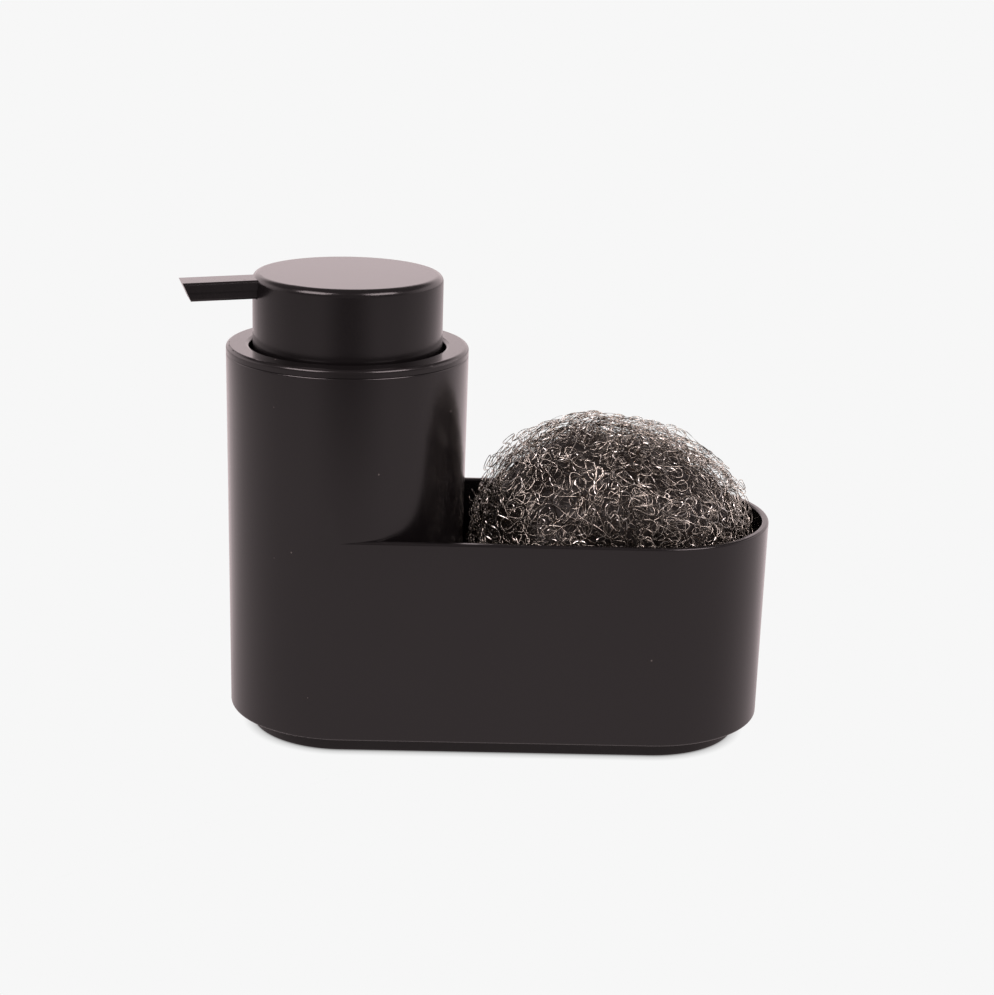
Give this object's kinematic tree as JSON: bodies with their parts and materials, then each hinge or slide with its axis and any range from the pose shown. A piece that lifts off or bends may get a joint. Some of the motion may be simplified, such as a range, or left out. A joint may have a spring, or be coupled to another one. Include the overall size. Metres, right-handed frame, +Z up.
{
  "type": "soap pump caddy",
  "caption": "Counter caddy in satin black plastic: a round soap reservoir with a broad press pump and swivel spout beside a rounded tray that holds a curly wire scourer.",
  "frame": {"origin": "on the surface that the caddy stands on, under the middle of its long outline", "axes": "+X from the reservoir tower to the tray, +Y to the back, +Z up"},
  "size_m": [0.1848, 0.075, 0.1459],
  "materials": {
    "satin_black": "satin",
    "matte_black": "matte",
    "strip_rubber": "matte",
    "seal_silicone": "satin",
    "natural_plastic": "satin",
    "tube_plastic": "satin",
    "steel": "polished",
    "scourer_wire": "satin"
  },
  "bodies": {
    "caddy": {"caddy_shell": "satin_black", "base_plate": "matte_black", "anti_slip_strips": "strip_rubber"},
    "lid": {"collar_lid": "satin_black", "lid_seal": "seal_silicone", "pump_housing": "natural_plastic", "housing_gasket": "seal_silicone", "closure_nut": "natural_plastic", "stem_guide": "natural_plastic", "dip_tube": "tube_plastic", "ball_cage": "natural_plastic"},
    "inlet_ball": {"inlet_ball": "steel"},
    "plunger": {"piston": "natural_plastic", "return_spring": "steel"},
    "head": {"head_cap": "satin_black", "spout_nozzle": "satin_black", "head_core": "matte_black", "stem": "natural_plastic", "stem_foot": "natural_plastic"},
    "scourer": {"scourer": "scourer_wire"}
  },
  "joints": [
    {"name": "lid_lift", "type": "slide", "parent": "caddy", "child": "lid", "axis": [0, 0, 1], "range_m": [0, 0.118]},
    {"name": "head_press", "type": "slide", "parent": "lid", "child": "plunger", "axis": [0, 0, 1], "range_m": [-0.013, 0], "stiffness_N_per_m": 500, "springref_m": 0.008, "deforming": ["return_spring"]},
    {"name": "head_swivel", "type": "hinge", "parent": "plunger", "child": "head", "pos_m": [-0.04835, 0, 0.12], "axis": [0, 0, 1], "continuous": true},
    {"name": "inlet_ball_lift", "type": "slide", "parent": "lid", "child": "inlet_ball", "axis": [0, 0, 1], "range_m": [0, 0.0016]},
    {"name": "scourer_lift", "type": "slide", "parent": "caddy", "child": "scourer", "axis": [0, 0, 1], "range_m": [0, 0.075]}
  ]
}
